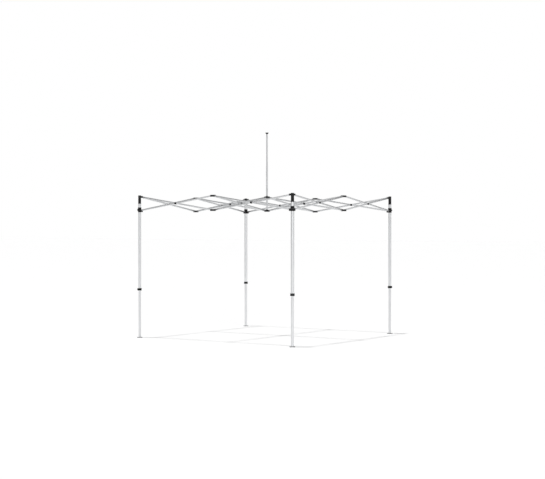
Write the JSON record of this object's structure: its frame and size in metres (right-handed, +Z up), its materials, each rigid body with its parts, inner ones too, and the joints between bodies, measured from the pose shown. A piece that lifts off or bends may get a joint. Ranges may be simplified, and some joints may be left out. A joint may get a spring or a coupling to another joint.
{
  "type": "pop up canopy frame",
  "caption": "Folding pop-up canopy frame with telescoping hexagonal corner legs, scissor trusses, sliding corner collars and a centre mast.",
  "frame": {"origin": "on the floor, under the middle of the frame, below the mast", "axes": "+Z up along the mast, +X and +Y each square to one side of the frame"},
  "size_m": [3.0218, 3.0218, 3.295],
  "materials": {
    "bar_aluminium": "mill finish, satin",
    "leg_aluminium": "satin anodised",
    "mast_aluminium": "satin",
    "connector_plastic": "moulded glass-filled nylon",
    "button_plastic": "moulded plastic"
  },
  "bodies": {
    "hub_top": {"hub_top": "connector_plastic"},
    "inner_bar_down_east": {"inner_bar_down_east": "bar_aluminium"},
    "inner_bar_up_east": {"inner_bar_up_east": "bar_aluminium"},
    "middle_top_east": {"middle_top_east": "connector_plastic"},
    "middle_bottom_east": {"middle_bottom_east": "connector_plastic"},
    "hub_bottom": {"hub_bottom": "connector_plastic", "mast_tube": "mast_aluminium"},
    "mast_extension": {"mast_extension": "mast_aluminium"},
    "side_bar_down_east_ne": {"side_bar_down_east_ne": "bar_aluminium"},
    "side_bar_up_east_ne": {"side_bar_up_east_ne": "bar_aluminium"},
    "leg_ne": {"outer_leg_ne": "leg_aluminium", "corner_bracket_ne": "connector_plastic"},
    "slider_ne": {"slider_ne": "connector_plastic"},
    "inner_leg_ne": {"inner_leg_ne": "leg_aluminium"},
    "slider_button_ne": {"slider_ne_button": "button_plastic"},
    "leg_button_ne": {"leg_button_ne": "button_plastic"},
    "side_bar_down_east_se": {"side_bar_down_east_se": "bar_aluminium"},
    "side_bar_up_east_se": {"side_bar_up_east_se": "bar_aluminium"},
    "inner_bar_down_north": {"inner_bar_down_north": "bar_aluminium"},
    "inner_bar_up_north": {"inner_bar_up_north": "bar_aluminium"},
    "middle_top_north": {"middle_top_north": "connector_plastic"},
    "middle_bottom_north": {"middle_bottom_north": "connector_plastic"},
    "side_bar_down_north_nw": {"side_bar_down_north_nw": "bar_aluminium"},
    "side_bar_up_north_nw": {"side_bar_up_north_nw": "bar_aluminium"},
    "leg_nw": {"outer_leg_nw": "leg_aluminium", "corner_bracket_nw": "connector_plastic"},
    "slider_nw": {"slider_nw": "connector_plastic"},
    "inner_leg_nw": {"inner_leg_nw": "leg_aluminium"},
    "slider_button_nw": {"slider_nw_button": "button_plastic"},
    "leg_button_nw": {"leg_button_nw": "button_plastic"},
    "side_bar_down_north_ne": {"side_bar_down_north_ne": "bar_aluminium"},
    "side_bar_up_north_ne": {"side_bar_up_north_ne": "bar_aluminium"},
    "inner_bar_down_west": {"inner_bar_down_west": "bar_aluminium"},
    "inner_bar_up_west": {"inner_bar_up_west": "bar_aluminium"},
    "middle_top_west": {"middle_top_west": "connector_plastic"},
    "middle_bottom_west": {"middle_bottom_west": "connector_plastic"},
    "side_bar_down_west_sw": {"side_bar_down_west_sw": "bar_aluminium"},
    "side_bar_up_west_sw": {"side_bar_up_west_sw": "bar_aluminium"},
    "leg_sw": {"outer_leg_sw": "leg_aluminium", "corner_bracket_sw": "connector_plastic"},
    "slider_sw": {"slider_sw": "connector_plastic"},
    "inner_leg_sw": {"inner_leg_sw": "leg_aluminium"},
    "slider_button_sw": {"slider_sw_button": "button_plastic"},
    "leg_button_sw": {"leg_button_sw": "button_plastic"},
    "side_bar_down_west_nw": {"side_bar_down_west_nw": "bar_aluminium"},
    "side_bar_up_west_nw": {"side_bar_up_west_nw": "bar_aluminium"},
    "inner_bar_down_south": {"inner_bar_down_south": "bar_aluminium"},
    "inner_bar_up_south": {"inner_bar_up_south": "bar_aluminium"},
    "middle_top_south": {"middle_top_south": "connector_plastic"},
    "middle_bottom_south": {"middle_bottom_south": "connector_plastic"},
    "side_bar_down_south_se": {"side_bar_down_south_se": "bar_aluminium"},
    "side_bar_up_south_se": {"side_bar_up_south_se": "bar_aluminium"},
    "leg_se": {"outer_leg_se": "leg_aluminium", "corner_bracket_se": "connector_plastic"},
    "slider_se": {"slider_se": "connector_plastic"},
    "inner_leg_se": {"inner_leg_se": "leg_aluminium"},
    "slider_button_se": {"slider_se_button": "button_plastic"},
    "leg_button_se": {"leg_button_se": "button_plastic"},
    "side_bar_down_south_sw": {"side_bar_down_south_sw": "bar_aluminium"},
    "side_bar_up_south_sw": {"side_bar_up_south_sw": "bar_aluminium"}
  },
  "joints": [
    {"name": "fold", "type": "hinge", "parent": "hub_top", "child": "inner_bar_down_east", "pos_m": [0.036, 0, 2.24], "axis": [0, 1, 0], "range_deg": [0, 77.5]},
    {"name": "crossing_east", "type": "hinge", "parent": "inner_bar_down_east", "child": "inner_bar_up_east", "pos_m": [0.728, 0, 2.135], "axis": [0, 1, 0], "range_deg": [-155.5, 0.5]},
    {"name": "middle_bottom_east_pivot", "type": "hinge", "parent": "inner_bar_down_east", "child": "middle_bottom_east", "pos_m": [1.42, 0, 2.03], "axis": [0, 1, 0], "range_deg": [-78, 0.5]},
    {"name": "middle_top_east_pivot", "type": "hinge", "parent": "inner_bar_up_east", "child": "middle_top_east", "pos_m": [1.42, 0, 2.24], "axis": [0, 1, 0], "range_deg": [-0.5, 78]},
    {"name": "hub_bottom_pivot", "type": "hinge", "parent": "inner_bar_up_east", "child": "hub_bottom", "pos_m": [0.036, 0, 2.03], "axis": [0, 1, 0], "range_deg": [-0.5, 78]},
    {"name": "mast_extend", "type": "slide", "parent": "hub_bottom", "child": "mast_extension", "axis": [0, 0, 1], "range_m": [-0.002, 0.21]},
    {"name": "side_down_east_ne", "type": "hinge", "parent": "middle_top_east", "child": "side_bar_down_east_ne", "pos_m": [1.46, 0.032, 2.24], "axis": [-1, 0, 0], "range_deg": [-0.5, 78]},
    {"name": "side_up_east_ne", "type": "hinge", "parent": "middle_bottom_east", "child": "side_bar_up_east_ne", "pos_m": [1.46, 0.032, 2.03], "axis": [-1, 0, 0], "range_deg": [-78, 0.5]},
    {"name": "leg_ne_pivot", "type": "hinge", "parent": "side_bar_up_east_ne", "child": "leg_ne", "pos_m": [1.46, 1.416, 2.24], "axis": [-1, 0, 0], "range_deg": [-0.5, 78]},
    {"name": "slider_ne_pivot", "type": "hinge", "parent": "side_bar_down_east_ne", "child": "slider_ne", "pos_m": [1.46, 1.416, 2.03], "axis": [-1, 0, 0], "range_deg": [-78, 0.5]},
    {"name": "leg_ne_slide", "type": "slide", "parent": "leg_ne", "child": "inner_leg_ne", "axis": [0, 0, 1], "range_m": [0, 0.66]},
    {"name": "slider_button_ne_press", "type": "slide", "parent": "slider_ne", "child": "slider_button_ne", "axis": [-0.7071, -0.7071, 0], "range_m": [0, 0.003], "stiffness_N_per_m": 400},
    {"name": "leg_button_ne_press", "type": "slide", "parent": "leg_ne", "child": "leg_button_ne", "axis": [-0.7071, -0.7071, 0], "range_m": [0, 0.003], "stiffness_N_per_m": 400},
    {"name": "side_down_east_se", "type": "hinge", "parent": "middle_top_east", "child": "side_bar_down_east_se", "pos_m": [1.46, -0.032, 2.24], "axis": [1, 0, 0], "range_deg": [-0.5, 78]},
    {"name": "side_up_east_se", "type": "hinge", "parent": "middle_bottom_east", "child": "side_bar_up_east_se", "pos_m": [1.46, -0.032, 2.03], "axis": [1, 0, 0], "range_deg": [-78, 0.5]},
    {"name": "fold_north", "type": "hinge", "parent": "hub_top", "child": "inner_bar_down_north", "pos_m": [0, 0.036, 2.24], "axis": [-1, 0, 0], "range_deg": [0, 77.5]},
    {"name": "crossing_north", "type": "hinge", "parent": "inner_bar_down_north", "child": "inner_bar_up_north", "pos_m": [0, 0.728, 2.135], "axis": [-1, 0, 0], "range_deg": [-155.5, 0.5]},
    {"name": "middle_bottom_north_pivot", "type": "hinge", "parent": "inner_bar_down_north", "child": "middle_bottom_north", "pos_m": [0, 1.42, 2.03], "axis": [-1, 0, 0], "range_deg": [-78, 0.5]},
    {"name": "middle_top_north_pivot", "type": "hinge", "parent": "inner_bar_up_north", "child": "middle_top_north", "pos_m": [0, 1.42, 2.24], "axis": [-1, 0, 0], "range_deg": [-0.5, 78]},
    {"name": "side_down_north_nw", "type": "hinge", "parent": "middle_top_north", "child": "side_bar_down_north_nw", "pos_m": [-0.032, 1.46, 2.24], "axis": [0, -1, 0], "range_deg": [-0.5, 78]},
    {"name": "side_up_north_nw", "type": "hinge", "parent": "middle_bottom_north", "child": "side_bar_up_north_nw", "pos_m": [-0.032, 1.46, 2.03], "axis": [0, -1, 0], "range_deg": [-78, 0.5]},
    {"name": "leg_nw_pivot", "type": "hinge", "parent": "side_bar_up_north_nw", "child": "leg_nw", "pos_m": [-1.416, 1.46, 2.24], "axis": [0, -1, 0], "range_deg": [-0.5, 78]},
    {"name": "slider_nw_pivot", "type": "hinge", "parent": "side_bar_down_north_nw", "child": "slider_nw", "pos_m": [-1.416, 1.46, 2.03], "axis": [0, -1, 0], "range_deg": [-78, 0.5]},
    {"name": "leg_nw_slide", "type": "slide", "parent": "leg_nw", "child": "inner_leg_nw", "axis": [0, 0, 1], "range_m": [0, 0.66]},
    {"name": "slider_button_nw_press", "type": "slide", "parent": "slider_nw", "child": "slider_button_nw", "axis": [0.7071, -0.7071, 0], "range_m": [0, 0.003], "stiffness_N_per_m": 400},
    {"name": "leg_button_nw_press", "type": "slide", "parent": "leg_nw", "child": "leg_button_nw", "axis": [0.7071, -0.7071, 0], "range_m": [0, 0.003], "stiffness_N_per_m": 400},
    {"name": "side_down_north_ne", "type": "hinge", "parent": "middle_top_north", "child": "side_bar_down_north_ne", "pos_m": [0.032, 1.46, 2.24], "axis": [0, 1, 0], "range_deg": [-0.5, 78]},
    {"name": "side_up_north_ne", "type": "hinge", "parent": "middle_bottom_north", "child": "side_bar_up_north_ne", "pos_m": [0.032, 1.46, 2.03], "axis": [0, 1, 0], "range_deg": [-78, 0.5]},
    {"name": "fold_west", "type": "hinge", "parent": "hub_top", "child": "inner_bar_down_west", "pos_m": [-0.036, 0, 2.24], "axis": [0, -1, 0], "range_deg": [0, 77.5]},
    {"name": "crossing_west", "type": "hinge", "parent": "inner_bar_down_west", "child": "inner_bar_up_west", "pos_m": [-0.728, 0, 2.135], "axis": [0, -1, 0], "range_deg": [-155.5, 0.5]},
    {"name": "middle_bottom_west_pivot", "type": "hinge", "parent": "inner_bar_down_west", "child": "middle_bottom_west", "pos_m": [-1.42, 0, 2.03], "axis": [0, -1, 0], "range_deg": [-78, 0.5]},
    {"name": "middle_top_west_pivot", "type": "hinge", "parent": "inner_bar_up_west", "child": "middle_top_west", "pos_m": [-1.42, 0, 2.24], "axis": [0, -1, 0], "range_deg": [-0.5, 78]},
    {"name": "side_down_west_sw", "type": "hinge", "parent": "middle_top_west", "child": "side_bar_down_west_sw", "pos_m": [-1.46, -0.032, 2.24], "axis": [1, 0, 0], "range_deg": [-0.5, 78]},
    {"name": "side_up_west_sw", "type": "hinge", "parent": "middle_bottom_west", "child": "side_bar_up_west_sw", "pos_m": [-1.46, -0.032, 2.03], "axis": [1, 0, 0], "range_deg": [-78, 0.5]},
    {"name": "leg_sw_pivot", "type": "hinge", "parent": "side_bar_up_west_sw", "child": "leg_sw", "pos_m": [-1.46, -1.416, 2.24], "axis": [1, 0, 0], "range_deg": [-0.5, 78]},
    {"name": "slider_sw_pivot", "type": "hinge", "parent": "side_bar_down_west_sw", "child": "slider_sw", "pos_m": [-1.46, -1.416, 2.03], "axis": [1, 0, 0], "range_deg": [-78, 0.5]},
    {"name": "leg_sw_slide", "type": "slide", "parent": "leg_sw", "child": "inner_leg_sw", "axis": [0, 0, 1], "range_m": [0, 0.66]},
    {"name": "slider_button_sw_press", "type": "slide", "parent": "slider_sw", "child": "slider_button_sw", "axis": [0.7071, 0.7071, 0], "range_m": [0, 0.003], "stiffness_N_per_m": 400},
    {"name": "leg_button_sw_press", "type": "slide", "parent": "leg_sw", "child": "leg_button_sw", "axis": [0.7071, 0.7071, 0], "range_m": [0, 0.003], "stiffness_N_per_m": 400},
    {"name": "side_down_west_nw", "type": "hinge", "parent": "middle_top_west", "child": "side_bar_down_west_nw", "pos_m": [-1.46, 0.032, 2.24], "axis": [-1, 0, 0], "range_deg": [-0.5, 78]},
    {"name": "side_up_west_nw", "type": "hinge", "parent": "middle_bottom_west", "child": "side_bar_up_west_nw", "pos_m": [-1.46, 0.032, 2.03], "axis": [-1, 0, 0], "range_deg": [-78, 0.5]},
    {"name": "fold_south", "type": "hinge", "parent": "hub_top", "child": "inner_bar_down_south", "pos_m": [0, -0.036, 2.24], "axis": [1, 0, 0], "range_deg": [0, 77.5]},
    {"name": "crossing_south", "type": "hinge", "parent": "inner_bar_down_south", "child": "inner_bar_up_south", "pos_m": [0, -0.728, 2.135], "axis": [1, 0, 0], "range_deg": [-155.5, 0.5]},
    {"name": "middle_bottom_south_pivot", "type": "hinge", "parent": "inner_bar_down_south", "child": "middle_bottom_south", "pos_m": [0, -1.42, 2.03], "axis": [1, 0, 0], "range_deg": [-78, 0.5]},
    {"name": "middle_top_south_pivot", "type": "hinge", "parent": "inner_bar_up_south", "child": "middle_top_south", "pos_m": [0, -1.42, 2.24], "axis": [1, 0, 0], "range_deg": [-0.5, 78]},
    {"name": "side_down_south_se", "type": "hinge", "parent": "middle_top_south", "child": "side_bar_down_south_se", "pos_m": [0.032, -1.46, 2.24], "axis": [0, 1, 0], "range_deg": [-0.5, 78]},
    {"name": "side_up_south_se", "type": "hinge", "parent": "middle_bottom_south", "child": "side_bar_up_south_se", "pos_m": [0.032, -1.46, 2.03], "axis": [0, 1, 0], "range_deg": [-78, 0.5]},
    {"name": "leg_se_pivot", "type": "hinge", "parent": "side_bar_up_south_se", "child": "leg_se", "pos_m": [1.416, -1.46, 2.24], "axis": [0, 1, 0], "range_deg": [-0.5, 78]},
    {"name": "slider_se_pivot", "type": "hinge", "parent": "side_bar_down_south_se", "child": "slider_se", "pos_m": [1.416, -1.46, 2.03], "axis": [0, 1, 0], "range_deg": [-78, 0.5]},
    {"name": "leg_se_slide", "type": "slide", "parent": "leg_se", "child": "inner_leg_se", "axis": [0, 0, 1], "range_m": [0, 0.66]},
    {"name": "slider_button_se_press", "type": "slide", "parent": "slider_se", "child": "slider_button_se", "axis": [-0.7071, 0.7071, 0], "range_m": [0, 0.003], "stiffness_N_per_m": 400},
    {"name": "leg_button_se_press", "type": "slide", "parent": "leg_se", "child": "leg_button_se", "axis": [-0.7071, 0.7071, 0], "range_m": [0, 0.003], "stiffness_N_per_m": 400},
    {"name": "side_down_south_sw", "type": "hinge", "parent": "middle_top_south", "child": "side_bar_down_south_sw", "pos_m": [-0.032, -1.46, 2.24], "axis": [0, -1, 0], "range_deg": [-0.5, 78]},
    {"name": "side_up_south_sw", "type": "hinge", "parent": "middle_bottom_south", "child": "side_bar_up_south_sw", "pos_m": [-0.032, -1.46, 2.03], "axis": [0, -1, 0], "range_deg": [-78, 0.5]}
  ],
  "couplings": [
    {"joint": "crossing_east", "follows": "fold", "ratio": -2},
    {"joint": "middle_bottom_east_pivot", "follows": "fold", "ratio": -1},
    {"joint": "middle_top_east_pivot", "follows": "fold", "ratio": 1},
    {"joint": "hub_bottom_pivot", "follows": "fold", "ratio": 1},
    {"joint": "mast_extend", "follows": "fold", "m_per_rad": 0.15},
    {"joint": "side_down_east_ne", "follows": "fold", "ratio": 1},
    {"joint": "side_up_east_ne", "follows": "fold", "ratio": -1},
    {"joint": "leg_ne_pivot", "follows": "fold", "ratio": 1},
    {"joint": "slider_ne_pivot", "follows": "fold", "ratio": -1},
    {"joint": "side_down_east_se", "follows": "fold", "ratio": 1},
    {"joint": "side_up_east_se", "follows": "fold", "ratio": -1},
    {"joint": "fold_north", "follows": "fold", "ratio": 1},
    {"joint": "crossing_north", "follows": "fold", "ratio": -2},
    {"joint": "middle_bottom_north_pivot", "follows": "fold", "ratio": -1},
    {"joint": "middle_top_north_pivot", "follows": "fold", "ratio": 1},
    {"joint": "side_down_north_nw", "follows": "fold", "ratio": 1},
    {"joint": "side_up_north_nw", "follows": "fold", "ratio": -1},
    {"joint": "leg_nw_pivot", "follows": "fold", "ratio": 1},
    {"joint": "slider_nw_pivot", "follows": "fold", "ratio": -1},
    {"joint": "side_down_north_ne", "follows": "fold", "ratio": 1},
    {"joint": "side_up_north_ne", "follows": "fold", "ratio": -1},
    {"joint": "fold_west", "follows": "fold", "ratio": 1},
    {"joint": "crossing_west", "follows": "fold", "ratio": -2},
    {"joint": "middle_bottom_west_pivot", "follows": "fold", "ratio": -1},
    {"joint": "middle_top_west_pivot", "follows": "fold", "ratio": 1},
    {"joint": "side_down_west_sw", "follows": "fold", "ratio": 1},
    {"joint": "side_up_west_sw", "follows": "fold", "ratio": -1},
    {"joint": "leg_sw_pivot", "follows": "fold", "ratio": 1},
    {"joint": "slider_sw_pivot", "follows": "fold", "ratio": -1},
    {"joint": "side_down_west_nw", "follows": "fold", "ratio": 1},
    {"joint": "side_up_west_nw", "follows": "fold", "ratio": -1},
    {"joint": "fold_south", "follows": "fold", "ratio": 1},
    {"joint": "crossing_south", "follows": "fold", "ratio": -2},
    {"joint": "middle_bottom_south_pivot", "follows": "fold", "ratio": -1},
    {"joint": "middle_top_south_pivot", "follows": "fold", "ratio": 1},
    {"joint": "side_down_south_se", "follows": "fold", "ratio": 1},
    {"joint": "side_up_south_se", "follows": "fold", "ratio": -1},
    {"joint": "leg_se_pivot", "follows": "fold", "ratio": 1},
    {"joint": "slider_se_pivot", "follows": "fold", "ratio": -1},
    {"joint": "side_down_south_sw", "follows": "fold", "ratio": 1},
    {"joint": "side_up_south_sw", "follows": "fold", "ratio": -1}
  ]
}
